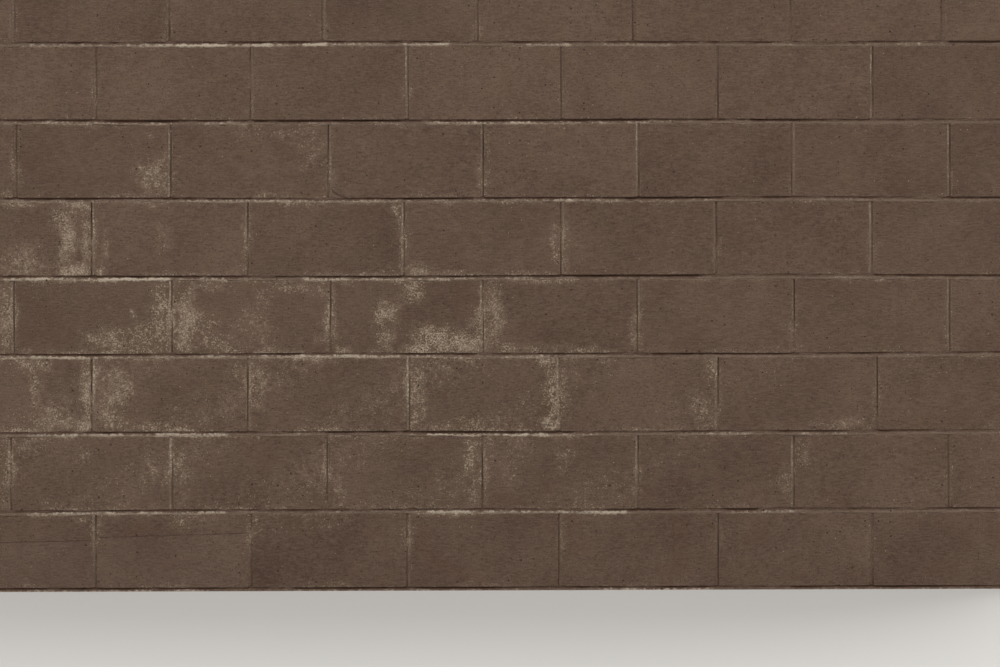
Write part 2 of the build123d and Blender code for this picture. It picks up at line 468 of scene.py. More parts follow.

# %% [markdown]
# ## Lime and painted highlight along the beds
# The lower half of each bed joint looks up, so rain leaves lime there, and it is painted lighter besides, as
# a painted highlight where it faces the sky. It is the palest line of the wall. It comes and goes along a
# bed. The strongest runs are listed by the course whose bed they are in: from where to where, in millimetres,
# and how strong in percent. Elsewhere a faint line stays, which is mostly painted highlight. Beds that the
# photo doesn't show get four plausible runs.

# %% List the limy runs
# The faint line is mostly a painted highlight on the lip that looks up.
FAINT_LIME_AND_HIGHLIGHT = 30
SOFT_END = 24.0
UNSEEN_LIME = ((-1300, -700, 60), (-500, 100, 50), (300, 600, 70), (800, 1300, 45))
LIME_RUNS = {
    2: (
        (-1190, -990, 68), (-990, -665, 66), (-410, -340, 45), (-200, -150, 50), (-150, -20, 80),
        (-20, 240, 66), (240, 380, 80), (630, 820, 60),
    ),
    3: (
        (-1190, -1120, 70), (-1120, -1050, 90), (-1050, -820, 70), (-860, -660, 80), (-540, -470, 50),
        (-200, -150, 50), (-150, 0, 95), (0, 50, 70), (50, 120, 110), (120, 180, 85), (180, 310, 50),
        (500, 700, 50), (830, 960, 50),
    ),
    4: (
        (-1250, -1180, 65), (-1180, -1000, 78), (-990, -800, 55), (-795, -540, 58), (-540, -210, 76),
        (-210, -90, 55), (-90, 50, 40), (50, 180, 64), (180, 330, 50), (1020, 1150, 40),
    ),
    5: (
        (-1250, -1190, 70), (-1190, -1120, 90), (-1120, -990, 72), (-1000, -812, 125), (-795, -660, 70),
        (-660, -600, 50), (-470, -340, 80), (-340, -150, 58), (-150, -80, 74), (-80, 190, 52),
        (900, 1150, 40),
    ),
    6: (
        (-1250, -1120, 52), (-1120, -800, 42), (-800, -600, 60), (-600, -540, 72), (-540, -210, 58),
        (-210, 110, 46), (110, 180, 60), (180, 250, 75), (250, 375, 55), (570, 640, 45), (830, 1020, 42),
    ),
    7: (
        (-1250, -790, 56), (-730, -600, 52), (-540, -470, 40), (-470, -340, 54), (-280, -210, 54),
        (-150, -80, 60), (-80, 50, 70), (50, 180, 80), (180, 370, 60), (370, 440, 75), (440, 500, 50),
    ),
    8: (
        (-1180, -930, 60), (-930, -800, 70), (-800, -660, 120), (-660, -540, 85), (-540, -470, 70),
        (-470, -400, 100), (-400, -210, 62), (-210, -80, 76), (110, 240, 62), (310, 500, 54),
        (760, 830, 42), (1055, 1220, 40),
    ),
}


def along_runs(runs, usual, x):
    """A share along a bed: the usual one, and more inside each run, with soft ends."""
    strength = np.full(np.shape(x), usual / 100)
    for start, end, strong in runs:
        inside = eased(np.minimum(x / MM - start, end - x / MM) / SOFT_END + 0.5)
        strength = np.maximum(strength, strong / 100 * inside)
    return strength


def lime_and_highlight_along(course, x):
    """How strong the lime and the painted highlight are along a course's bed."""
    return along_runs(LIME_RUNS.get(course, UNSEEN_LIME), FAINT_LIME_AND_HIGHLIGHT, x)


print("lime at the strongest run", lime_and_highlight_along(5, np.array([-1.0])).round(2))

# %% [markdown]
# The iron was pressed harder in some stretches, and there the hollow is deeper and the dark line under
# the upper course is three times as wide as elsewhere. Those stretches are listed in the same way. No
# hand presses evenly, so three short waves run on top, each given by how much it adds, how long it
# is and how far it shifts from course to course.

# %% List the deep stretches
USUAL_DEPTH = 30
PRESSING_WAVES = ((0.17, 0.047, 3), (0.14, 0.019, 1), (0.1, 0.0083, 2))
UNSEEN_DEPTH = ((-1300, -700, 80), (-500, 100, 100), (300, 600, 60), (800, 1300, 90))
DEEP_RUNS = {
    2: (
        (-1250, -1180, 55), (-990, -860, 85), (-860, -690, 55), (-470, -350, 55), (310, 380, 50),
        (380, 500, 100), (630, 720, 110), (950, 1030, 60), (1150, 1400, 65),
    ),
    3: (
        (-1050, -830, 55), (-530, -410, 40), (-410, -220, 90), (-215, 110, 135), (110, 240, 65),
        (560, 630, 60), (770, 950, 75), (1030, 1150, 55),
    ),
    4: (
        (-1250, -1180, 45), (-1180, -1050, 70), (-1055, -860, 105), (-860, -720, 35), (-670, -470, 62),
        (-210, -80, 70), (-80, -15, 100), (180, 370, 62), (440, 560, 115), (560, 830, 85), (960, 1020, 75),
    ),
    5: (
        (-1250, -1190, 75), (-1120, -930, 72), (-930, -860, 95), (-860, -730, 125), (-730, -600, 75),
        (-540, -280, 68), (-280, 240, 92), (240, 500, 140), (500, 570, 95), (1025, 1400, 90),
    ),
    6: (
        (-1250, -930, 100), (-930, -790, 85), (-790, -600, 60), (-400, -220, 70), (-210, -20, 110),
        (-20, 170, 66), (170, 310, 98), (310, 375, 70), (375, 630, 135), (765, 830, 75), (880, 1100, 42),
        (1220, 1400, 60),
    ),
    7: (
        (-1250, -1120, 70), (-1120, -990, 100), (-990, -790, 145), (-790, -660, 90), (-600, -530, 100),
        (-535, -210, 145), (-210, -150, 110), (-150, -20, 80), (-15, 440, 130), (440, 690, 70),
        (700, 830, 120), (830, 1020, 50), (1150, 1260, 40),
    ),
    8: (
        (-665, -540, 85), (-540, -280, 68), (-280, -210, 42), (380, 500, 55), (500, 570, 95),
        (570, 760, 55), (960, 1020, 65), (1220, 1400, 100),
    ),
}


def depth_along(course, x):
    """How deep a course's bed is struck, 1 for deep."""
    unsteady = sum(swing * np.sin(x / length + shift * course) for swing, length, shift in PRESSING_WAVES)
    return along_runs(DEEP_RUNS.get(course, UNSEEN_DEPTH), USUAL_DEPTH, x) + unsteady


print("depth of bed 5", depth_along(5, np.array([-1.0, -0.7])).round(2))

# %% [markdown]
# ## A pile of small solids
# A course is one piece of many solids. Their points and faces are piled up and made into one mesh, with
# the masks on its points. A map called face holds each point's place on its side of the wall in metres,
# so that textures lie flat on the front, the ends and the top alike. Nothing may leave the box of the
# solids, so points that a lean or a lift would push out of it stay on its side.

# %% Pile up solids and make one mesh
MASKS = {
    "bloom": "salts that lift the paint, 0 to 1",
    # The mask of lime also carries a painted highlight where the lower lip of a bed looks up.
    "lime": "lime on mortar and on edges, 0 to 1",
    "under_bed": "distance below the middle of the bed above, in millimetres",
    "over_bed": "distance above the middle of the bed below, in millimetres",
    "hollow": "how deep mortar lies, in millimetres",
    "deep": "how deep the bed is struck, 1 for deep",
    "wear": "how worn an edge is, 1 for the usual",
    "tone": "one number a block",
    "over_line": "height over a block's dark line, in metres",
}


class Pile:
    """Points, faces and masks of many solids, on the way to becoming one mesh."""

    def __init__(self, name):
        self.name = name
        self.points = []
        self.faces = []
        self.masks = {name: [] for name in MASKS}
        self.count = 0

    def add(self, points, faces, **masks):
        self.points.append(points)
        self.faces += [corners + self.count for corners in faces]
        for name, values in self.masks.items():
            values.append(np.broadcast_to(masks.get(name, 0.0), len(points)))
        self.count += len(points)

    def make(self, paint, slot, node_names):
        """The piece: one mesh that stands for the named nodes."""
        points = np.clip(np.concatenate(self.points), cad_box[0], cad_box[1])
        corners = [row for faces in self.faces for row in faces.tolist()]
        mesh = bpy.data.meshes.new(self.name)
        mesh.from_pydata(points.tolist(), [], corners)
        mesh.polygons.foreach_set("use_smooth", np.ones(len(mesh.polygons), bool))
        for name, values in self.masks.items():
            stored = mesh.attributes.new(name, "FLOAT", "POINT").data
            stored.foreach_set("value", np.concatenate(values).astype(np.float32))
        lay_flat(mesh)
        mesh.materials.append(paint.owner)
        piece = bpy.data.objects.new(self.name, mesh)
        scene.collection.objects.link(piece)
        piece.modifiers.new("flat faces stay flat", "WEIGHTED_NORMAL")
        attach(piece, "root")
        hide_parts(*node_names)
        return piece


def rows_of(items, name, kind, width):
    """One property of a mesh's items, in rows of some width."""
    values = np.empty(len(items) * width, kind)
    items.foreach_get(name, values)
    return values.reshape(-1, width)


def lay_flat(mesh):
    """Maps each face from its own side: the front by x and z, an end by y and z, a top by x and y."""
    corner_point = rows_of(mesh.loops, "vertex_index", np.int32, 1)[:, 0]
    sizes = rows_of(mesh.polygons, "loop_total", np.int32, 1)[:, 0]
    facing = np.repeat(np.abs(rows_of(mesh.polygons, "normal", np.float32, 3)).argmax(1), sizes)
    places = rows_of(mesh.vertices, "co", np.float32, 3)[corner_point]
    across = np.where(facing == 0, places[:, 1], places[:, 0])
    up = np.where(facing == 2, places[:, 1], places[:, 2])
    mesh.uv_layers.new(name="face").uv.foreach_set("vector", np.stack([across, up], 1).ravel())


print("masks", list(MASKS))

# %% [markdown]
# ## A block with worn edges
# A moulded block is a box, but its edges are never sharp: they crumble a little everywhere, more at
# the corners, and here and there a chip is gone. A Bevel modifier would round all edges alike, so
# the block is built from rings instead. Each ring goes round the outline of a face, and the rings
# step over the worn edge on a quarter circle whose radius changes along the way. The flat middle of
# the face is filled with triangles between the innermost ring and a loose grid of points.

# %% Rings round a rectangle
CORNER_POINTS = 4
HEART_CORNER = 0.5 * MM


def outline(length, height, corner, along, up):
    """Points anticlockwise round a rectangle with round corners, about its middle, from its lower right.
    along and up are how many points lie on its straight sides."""
    quarter = np.linspace(0, pi / 2, CORNER_POINTS)
    arcs = []
    for turn, right, above in ((-pi / 2, 1, -1), (0, 1, 1), (pi / 2, -1, 1), (pi, -1, -1)):
        middle = np.array([right * (length / 2 - corner), above * (height / 2 - corner)])
        arcs.append(middle + corner * np.stack([np.cos(turn + quarter), np.sin(turn + quarter)], 1))
    points = []
    for number, arc in enumerate(arcs):
        straight = np.linspace(arc[-1], arcs[(number + 1) % 4][0], (up, along)[number % 2] + 2)
        points += [arc, straight[1:-1]]
    return np.concatenate(points)


def distances(points):
    """How far each point is along the path, from its first."""
    return np.concatenate([[0], np.cumsum(np.hypot(*np.diff(points, axis=0).T))])


def bands(rings, count):
    """The four-sided faces between rings of count points each."""
    here = np.arange(count)
    onward = (here + 1) % count
    first = np.stack([here, here + count, onward + count, onward], 1)
    return np.concatenate([first + ring * count for ring in range(rings - 1)])


print("an outline has", len(outline(0.4, 0.2, 0.002, 10, 5)), "points")

# %% Wear a block's edges
EDGE_SPACING = 7 * MM
GRID_SPACING = 12 * MM
HEART_MARGIN = 12 * MM
COLLAR = 2.5 * MM
CORNER_RADIUS = 2.0 * MM
ARRIS_WEAR = 1.6 * MM
FOOT_WEAR = 0.6
LEAST_WEAR = 0.7 * MM
MOST_WEAR = 8.5 * MM
ARRIS_ANGLES = np.radians([90, 66, 42, 20, 0])
ARRIS_ROUGHNESS, ROUGHNESS_SPACING = 0.12 * MM, 8 * MM
WEAR_WAVES = ((0.35, 45 * MM), (0.25, 12 * MM))
CORNER_LOSS, CORNER_REACH = (0.1, 1.3), (4 * MM, 9 * MM)
MOST_CHIPS = 4
CHIP_WIDTH, CHIP_LOSS = (4 * MM, 12 * MM), (0.6, 2.2)


def fill(ring, length, height):
    """A loose grid of points inside a ring, and triangles that join them and the ring."""
    reach_x, reach_z = length / 2 - GRID_SPACING / 2, height / 2 - GRID_SPACING / 2
    columns = np.linspace(-reach_x, reach_x, max(2, round(2 * reach_x / GRID_SPACING)))
    rows = np.linspace(-reach_z, reach_z, max(2, round(2 * reach_z / GRID_SPACING)))
    grid = np.stack(np.meshgrid(columns, rows), -1).reshape(-1, 2)
    points = np.concatenate([ring, grid])
    edges = [(i, (i + 1) % len(ring)) for i in range(len(ring))]
    found = delaunay_2d_cdt([tuple(p) for p in points], edges, [], 1, 1e-7)
    came_from = [origin[0] for origin in found[3]]
    triangles = np.array([[came_from[i] for i in face] for face in found[2]])
    a, b, c = (points[triangles[:, i]] for i in range(3))
    clockwise = np.cross(b - a, c - a) < 0
    triangles[clockwise] = triangles[clockwise][:, ::-1]
    return grid, triangles


class BlockShape:
    """What all blocks of one size share: the outline, its inner ring and the filled middle."""

    def __init__(self, length, height):
        along, up = round(length / EDGE_SPACING), round(height / EDGE_SPACING)
        self.rim = outline(length, height, CORNER_RADIUS, along, up)
        inner = (length - 2 * HEART_MARGIN, height - 2 * HEART_MARGIN)
        self.heart = outline(*inner, HEART_CORNER, along, up)
        self.grid, self.triangles = fill(self.heart, *inner)
        self.places = distances(self.rim)
        self.whole = self.places[-1] + self.places[1]
        self.over_foot = eased((self.rim[:, 1] + height / 2) / HEART_MARGIN)
        corners = [(x * length / 2, z * height / 2) for x in (-1, 1) for z in (-1, 1)]
        self.corner_places = [self.places[np.hypot(*(self.rim - c).T).argmin()] for c in corners]

    def away_from(self, place):
        """How far each point of the outline is from a place on it, the shorter way round."""
        away = np.abs(self.places - place)
        return np.minimum(away, self.whole - away)

    def worn(self, rng):
        """The radius of the worn edge at each point of the outline."""
        wear = 1
        for share, spacing in WEAR_WAVES:
            wear = wear + share * wander(self.places, spacing, rng)
        wear *= FOOT_WEAR + (1 - FOOT_WEAR) * self.over_foot
        for place in self.corner_places:
            loss, reach = rng.uniform(*CORNER_LOSS), rng.uniform(*CORNER_REACH)
            wear += loss * np.exp(-((self.away_from(place) / reach) ** 2))
        for chip in range(rng.integers(0, MOST_CHIPS + 1)):
            away = self.away_from(rng.uniform(0, self.whole))
            wide, loss = rng.uniform(*CHIP_WIDTH), rng.uniform(*CHIP_LOSS)
            wear += loss * np.sqrt(np.clip(1 - (away / wide) ** 2, 0, 1))
        return np.clip(ARRIS_WEAR * wear, LEAST_WEAR, MOST_WEAR)

    def side(self, set_back, rng):
        """The rings of one face, from its middle to the joint, as outline, depth and wear. The last one
        has no wear, because the flat stretch of the end or the top begins there."""
        radius = self.worn(rng)
        inward = (self.heart - self.rim) / HEART_MARGIN
        none = np.zeros(len(self.rim))
        collar = self.rim + inward * (radius + COLLAR)[:, None]
        rings = [(self.heart, set_back + none, none), (collar, set_back + none, none)]
        for angle in ARRIS_ANGLES:
            rough = ARRIS_ROUGHNESS * wander(self.places, ROUGHNESS_SPACING, rng)
            ring = self.rim + inward * (radius * (1 - cos(angle)))[:, None]
            rings.append((ring, set_back + radius * (1 - sin(angle)) + rough, radius / ARRIS_WEAR))
        rings[-1] = (*rings[-1][:2], none)
        return rings


SHAPES = {
    (length, height): BlockShape(length, height)
    for length in (BLOCK_LENGTH, HALF_LENGTH)
    for height in (BLOCK_HEIGHT, CAP_HEIGHT)
}
print("triangles in a face", [len(shape.triangles) for shape in SHAPES.values()])

# %% [markdown]
# A whole block is the rings of its front, the rings of its back in reverse, and two filled middles.
# Between the last ring of the front and the first of the back lies the flat stretch that is the
# block's ends, its top and its underside. Each face is set back a little, and by its own amount.

# %% Join a front and a back to a block
LEAST_SET_BACK, MOST_SET_BACK = 0.6 * MM, 1.3 * MM


def block_about_its_middle(shape, rng):
    """The points and faces of a block, the wear of each point, and 1 for points of the flat stretch."""
    front, back = (shape.side(rng.uniform(LEAST_SET_BACK, MOST_SET_BACK), rng) for face in range(2))
    half = WALL_DEPTH / 2
    slices = [(ring, depth - half, wear) for ring, depth, wear in front]
    slices += [(ring, half - depth, wear) for ring, depth, wear in reversed(back)]
    rings, y, wears = (np.concatenate(column) for column in zip(*slices))
    count, in_a_grid = len(shape.rim), len(shape.grid)
    points = [np.insert(rings, 1, y, axis=1)]
    faces = [bands(len(slices), count)]
    for is_back in (False, True):
        ring = np.arange(count) + is_back * (len(slices) - 1) * count
        inner = np.arange(in_a_grid) + len(slices) * count + is_back * in_a_grid
        triangles = np.concatenate([ring, inner])[shape.triangles]
        faces.append(triangles[:, ::-1] if is_back else triangles)
        points.append(np.insert(shape.grid, 1, y[ring[0]], axis=1))
    points = np.concatenate(points)
    wears = np.concatenate([wears, np.zeros(2 * in_a_grid)])
    is_flat = np.zeros(len(points))
    is_flat[(len(front) - 1) * count : (len(front) + 1) * count] = 1
    return points, faces, wears, is_flat


print("a block has", len(ARRIS_ANGLES) + 2, "rings a side")

# %% [markdown]
# A block is laid with a trace of lean and of lift, and follows the rise of its bed. Some have marks of
# their own. On two blocks of the lowest course a thin dark line shows how high the soil once stood,
# and the paint below it is a little pinker. A block higher up has lost a lower corner. Mortar fills the
# gap, so a broad dark line slants across the corner in the same way. A line is listed by its height at
# the left and at the right end of its block, and by how broad it is. The photo doesn't show the ends
# and the top of the wall, which are taken to be less salty than its faces.

# %% Lay a block
DARK_LINES = {
    (1, 0): (126 * MM, 133 * MM, 1.0),
    (1, 1): (141 * MM, 151 * MM, 1.0),
    (6, 3): (1041 * MM, 848 * MM, 3.2),
}
NO_LINE = (-1.0, -1.0, 1.0)
LESS_SALT = 0.45
MOST_TILT = radians(0.05)
MOST_LIFT = 0.4 * MM
CALLED_WHOLE = 0.7


def lay_block(pile, course, number, left, right, height):
    """Adds one block, standing in the wall, to a pile."""
    rng = generator(course, number)
    nominal = HALF_LENGTH if right - left < CALLED_WHOLE * BLOCK_LENGTH else BLOCK_LENGTH
    points, faces, wears, is_flat = block_about_its_middle(SHAPES[(nominal, height)], rng)
    up = points[:, 2].copy()
    foot = bed_foot(course) + JOINT
    points[:, 0] *= (right - left) / nominal
    rise_left, rise_right = (sway(course, end) for end in (left, right))
    lean = (rise_right - rise_left) / (right - left) + rng.uniform(-1, 1) * MOST_TILT
    lift = (rise_left + rise_right) / 2 + rng.uniform(-1, 1) * MOST_LIFT
    points[:, 2] = up + foot + height / 2 + lift + points[:, 0] * lean
    points[:, 0] += (left + right) / 2 - up * lean

    x, z = points[:, 0], points[:, 2]
    bed_above = bed_foot(course + 1) + JOINT / 2 + sway(course + 1, x)
    line_left, line_right, breadth = DARK_LINES.get((course, number), NO_LINE)
    line_here = line_left + (line_right - line_left) * (x - left) / (right - left)
    masks = {
        "bloom": bloom_at(x, z, course, left, right) * (1 - LESS_SALT * is_flat),
        "lime": lime_and_highlight_along(course + 1, x) * (course < CAP_COURSE) * (up > 0),
        "under_bed": (bed_above - z) / MM,
        "over_bed": (z - bed_foot(course) - JOINT / 2 - sway(course, x)) / MM,
        "wear": wears,
        "tone": rng.random(),
        "over_line": (z - line_here) / breadth,
    }
    pile.add(points, faces, **masks)


print("blocks with a line", list(DARK_LINES))

# %% [markdown]
# ## Struck mortar
# A joint is a slab of mortar whose rim shows. A round iron pressed along it leaves a hollow, deepest
# just under the upper block or beside one of two neighbours, and smears a thin lip over the edges.
# The slab is a stack of rings again, one for each line of the hollow's profile, and one function makes both
# the beds and the upright joints. A line has its place across the joint, its depth below the wall's face and
# how uneven it is, all in millimetres, and its share of the lime and painted highlight. The first and the
# last line lie inside the blocks, so that the mortar never parts from them. The iron is pressed harder here
# and softer there, and strays a little.

# %% Strike a slab of mortar
SLAB_MARGIN = 20 * MM
MORTAR_SPACING = 6 * MM
BED_PROFILE = (
    (-10.2, 3.4, 0.2, 0.4),
    (-8.6, 1.6, 1.0, 1.0),
    (-6.8, 1.0, 0.7, 1.0),
    (-5.0, 0.9, 0.45, 1.0),
    (-3.4, 1.3, 0.4, 1.0),
    (-1.6, 2.5, 0.5, 1.0),
    (0.0, 3.9, 0.9, 0.9),
    (1.4, 5.1, 1.3, 0.5),
    (2.8, 5.8, 1.5, 0.1),
    (4.2, 6.0, 1.5, 0.0),
    (5.3, 5.0, 1.3, 0.0),
    (6.3, 2.9, 0.9, 0.1),
    (7.4, 2.6, 0.6, 0.1),
    (9.0, 3.6, 0.2, 0.0),
)
HEAD_PROFILE = (
    (-8.6, 3.2, 0.2, 0.0),
    (-7.2, 1.9, 0.7, 0.2),
    (-5.8, 1.3, 0.5, 0.4),
    (-4.2, 1.2, 0.3, 0.7),
    (-2.4, 1.2, 0.3, 1.0),
    (-0.9, 1.5, 0.35, 0.9),
    (0.3, 2.3, 0.4, 0.5),
    (1.5, 3.2, 0.6, 0.2),
    (2.7, 3.8, 1.1, 0.0),
    (4.1, 4.1, 1.5, 0.0),
    (5.5, 3.7, 1.1, 0.0),
    (6.7, 2.8, 0.6, 0.1),
    (7.7, 2.0, 0.5, 0.1),
    (8.6, 3.2, 0.2, 0.0),
)
SLOW, FAST, OF_A_LINE, STRAYING, OF_RIDGES = 60 * MM, 14 * MM, 22 * MM, 18 * MM, 75 * MM
RIDGE_SLOPE, RIDGE_RARITY = 2.2, 1.1
RIDGE_FROM, RIDGE_TO = 6.0, 8.0
RIDGE_HEIGHT = 2.4
SHALLOW = 1.8
IN_THE_HOLLOW = 7.0
LEAST_DEPTH = 0.25
KEEP_APART = 0.01


def struck_slab(length, height, profile, along, up, rng, pressed, loose):
    """A slab with a struck rim: its points as along, up and across, its faces, and the depth and the share of
    lime and painted highlight of each point. pressed says how hard the iron was pressed at points of the rim,
    and loose how far it strayed. Here and there a thin ridge of squeezed mortar stands on the far edge."""
    rim = outline(length, height, CORNER_RADIUS, along, up)
    heart = outline(length - 2 * SLAB_MARGIN, height - 2 * SLAB_MARGIN, HEART_CORNER, along, up)
    inward = (heart - rim) / SLAB_MARGIN
    places = distances(rim)
    slow, fast = wander(places, SLOW, rng), wander(places, FAST, rng)
    ridge = np.clip(RIDGE_SLOPE * wander(places, OF_RIDGES, rng) - RIDGE_RARITY, 0, 1)
    middle = np.full(len(rim), SLAB_MARGIN / MM)
    hard = pressed(rim)
    slices = [(heart, profile[0][0] + 0 * middle, middle, 0 * middle)]
    for across, depth, rough, share in profile:
        uneven = rough * (0.9 * slow + 0.6 * fast + 0.7 * wander(places, OF_A_LINE, rng))
        on_ridge = ridge * (RIDGE_FROM < across < RIDGE_TO)
        in_the_hollow = depth > SHALLOW and abs(across) < IN_THE_HOLLOW
        struck = depth + (depth - SHALLOW) * in_the_hollow * (hard - 1)
        least = LEAST_DEPTH + KEEP_APART * abs(across)
        below = np.maximum(least, struck + uneven - RIDGE_HEIGHT * on_ridge)
        shifted = across + loose * (0.7 * slow + 0.3 * fast) + 0.25 * wander(places, STRAYING, rng)
        slices.append((rim + inward * below[:, None] * MM, shifted, below, np.maximum(share, on_ridge)))
    slices.append((heart, profile[-1][0] + 0 * middle, middle, 0 * middle))
    rings, across, depths, lime_and_highlight_shares = (np.concatenate(column) for column in zip(*slices))
    count = len(rim)
    last = (len(slices) - 1) * count
    faces = [bands(len(slices), count), np.arange(count)[None], np.arange(count)[None, ::-1] + last]
    return np.column_stack([rings, across * MM]), faces, depths, lime_and_highlight_shares


def turned_inside_out(faces):
    return [corners[:, ::-1] for corners in faces]


print("profile lines", len(BED_PROFILE), len(HEAD_PROFILE))

# %% [markdown]
# A bed is struck along the whole wall, front, back and ends. Each point stores how deep it lies, how far
# under the middle of the bed it is, how hard the iron was pressed there, and how much lime and painted
# highlight it has.

# %% Lay a bed
BED_PRESSED_LESS = 0.14
BED_STRAY = 1.0


def lay_bed(pile, course):
    """Adds a course's bed to a pile."""
    rng = generator(course, BED_SEED)
    along, up = round(WALL_LENGTH / MORTAR_SPACING), round(WALL_DEPTH / MORTAR_SPACING)

    def pressed(rim):
        return depth_along(course, rim[:, 0]) - BED_PRESSED_LESS

    size = (WALL_LENGTH, WALL_DEPTH)
    points, faces, depths, lime_and_highlight_shares = struck_slab(*size, BED_PROFILE, along, up, rng, pressed, BED_STRAY)
    x = points[:, 0]
    masks = {"lime": lime_and_highlight_shares * lime_and_highlight_along(course, x), "hollow": depths, "deep": depth_along(course, x)}
    masks["under_bed"] = -points[:, 2] / MM
    points[:, 2] += bed_foot(course) + JOINT / 2 + sway(course, x)
    pile.add(points, turned_inside_out(faces), **masks)


print("a bed has points every", round(MORTAR_SPACING / MM), "mm")

# %% [markdown]
# An upright joint reaches a little into the bed above it, and ends where the bed below begins, so the dark
# line under a course runs on past it. The crack beside it may be at its left or at its right. It is more open
# in some joints than in others, and opens and closes along its height. Paint hides most upright joints. On a
# few, a soft pale line of lime and painted highlight runs beside the crack and fades along the way, and the
# crack itself is painted dark as painted shade. The salts of a block go on over its side of the joint, as far
# as the crack.

# %% Lay an upright joint
REACH_UP = 2.5 * MM
SHARE_WITH_CRACK_LEFT = 0.4
LEAST_OPEN, MOST_OPEN = 0.55, 1.15
OPEN_SWING, OPEN_LENGTH = 0.4, 40 * MM
LIME_SWING, LEAST_LIME_LENGTH, MOST_LIME_LENGTH = 0.4, 20 * MM, 50 * MM
HEAD_STRAY = 1.8
FAINT_HEAD, PALE_HEAD = 0.22, 0.5
PALE_HEADS = ((2, 1), (3, 0), (3, 2), (4, 1), (5, 0), (5, 2), (5, 5), (6, 4), (6, 6), (7, 2), (7, 5))
IN_THE_STRIP = 3.5
CRACK = 4.1


def lay_head(pile, course, number, x, height):
    """Adds an upright joint to a pile."""
    rng = generator(course, HEAD_SEED + number)
    low = bed_foot(course) + JOINT + sway(course, x)
    high = low + height + (REACH_UP if course < CAP_COURSE else 0)
    up = round(height / MORTAR_SPACING)
    opened, start = rng.uniform(LEAST_OPEN, MOST_OPEN), rng.uniform(0, 2 * pi)

    def pressed(rim):
        return opened * (1 + OPEN_SWING * np.sin(rim[:, 1] / OPEN_LENGTH + start))

    size = (WALL_DEPTH, high - low)
    points, faces, depths, lime_and_highlight_shares = struck_slab(*size, HEAD_PROFILE, 2, up, rng, pressed, HEAD_STRAY)
    # Painted highlight with lime: the pale line on the lit side of the crack.
    strongest = PALE_HEAD if (course, number) in PALE_HEADS else FAINT_HEAD * rng.uniform(0, 2)
    lime_length = rng.uniform(LEAST_LIME_LENGTH, MOST_LIME_LENGTH)
    strength = strongest * (1 + LIME_SWING * np.sin(points[:, 1] / lime_length))
    neighbours = block_spans(course)[number : number + 2]
    over_the_crack = points[:, 2] > CRACK * MM
    if rng.random() < SHARE_WITH_CRACK_LEFT:
        points[:, 2] *= -1
        neighbours.reverse()
    else:
        faces = turned_inside_out(faces)
    standing = points[:, [2, 0, 1]] + np.array([x, 0, (low + high) / 2])
    z = standing[:, 2]
    blooms = [bloom_at(np.clip(standing[:, 0], *ends), z, course, *ends) for ends in neighbours]
    masks = {"lime": lime_and_highlight_shares * np.clip(strength, 0, 1), "hollow": depths, "under_bed": IN_THE_STRIP}
    masks["bloom"] = np.where(over_the_crack, blooms[1], blooms[0])
    pile.add(standing, faces, **masks)


print("upright joints with a pale line", len(PALE_HEADS))

# %% [markdown]
# ## Paint
# One brown masonry paint covers blocks and mortar, but from near it isn't one colour. So it is laid on
# in coats: a coat is a mask that turns the colour so far into one more colour. Some coats raise or
# sink the surface too, in millimetres, for the bump. Four paints are made side by side: for blocks,
# for blocks of a course with a dark line, for mortar and for caps. A paint keeps the masks that
# several coats share. Each block reads the noises from a layer of its own, so no two are alike.

# %% Start the paints
PAINT_LIGHT = colour(103, 84, 71)
PAINT_DARK = colour(76, 58, 48)
PAINT_RED = colour(91, 68, 57)
PAINT_OLIVE = colour(90, 75, 56)
PAINT_PINK = colour(108, 89, 79)
SALT = colour(176, 158, 138)
# Lime, and a painted highlight where the lip of a bed looks up.
LIME_AND_HIGHLIGHT = colour(196, 182, 162)
WORN = colour(136, 118, 101)
# Dirt for the dark lines, and painted shade for pits, holes and the foot of a block.
DIRT_AND_SHADE = colour(46, 35, 28)
# Painted shade, with some dirt, for the hollow of the mortar.
HOLLOW_SHADE_AND_DIRT = colour(62, 40, 26)
LAYERS_APART = 40.0


class BrownPaint(Recipe):
    """A paint that is laid on coat by coat, and the masks that several of its coats share."""

    def __init__(self, name):
        super().__init__(bpy.data.materials.new(name))
        self.face = self.node("ShaderNodeUVMap", {"uv_map": "face"}, {})
        self.tone = self.painted_on("tone")
        self.bloom = self.painted_on("bloom")
        self.hollow = self.painted_on("hollow")
        self.wear = self.painted_on("wear")
        own_layer = self.node("ShaderNodeCombineXYZ", {}, {"Z": self.tone * LAYERS_APART})
        self.place = self.vector("ADD", self.face, own_layer)
        self.clouds = self.noise(self.place, 5.0, 3.0)
        self.hue = self.noise(self.place, 11.0, 2.0)
        self.mottle = self.noise(self.place, 34.0, 3.0, 0.6)
        self.pits = self.noise(self.place, 260.0, 2.0, 0.6)
        self.grains = self.noise(self.place, 235.0, 2.0, 0.65)
        self.deep_pits = 1 - (self.pits - self.bloom * 0.1).between(0.27, 0.38)
        self.colour = PAINT_DARK

    def coat(self, amount, pigment):
        """Turns the colour so far into one more, and fully so where amount is 1."""
        self.colour = self.blend(amount, self.colour, pigment)


block_paint = BrownPaint("painted_block")
lined_paint = BrownPaint("painted_block_with_a_line")
mortar_paint = BrownPaint("painted_mortar")
cap_paint = BrownPaint("painted_cap")
PAINTS = (block_paint, lined_paint, mortar_paint, cap_paint)


def on_each_paint(step):
    """Takes one step with each of the paints."""
    for paint in PAINTS:
        step(paint)
    print(step.__name__, "- now", len(block_paint.tree.nodes), "nodes in a paint")


print("paints", [paint.owner.name for paint in PAINTS])

# %% [markdown]
# The brown goes from dark to light. The roller left fine level streaks and small pits, blocks took the paint
# unevenly, some places are redder, and some more olive, most of all where salts are at work. The deepest pits
# are painted dark, as painted shade in them.

# %% Roll on the brown
FLATTENED = (1.0, 4.5, 1.0)


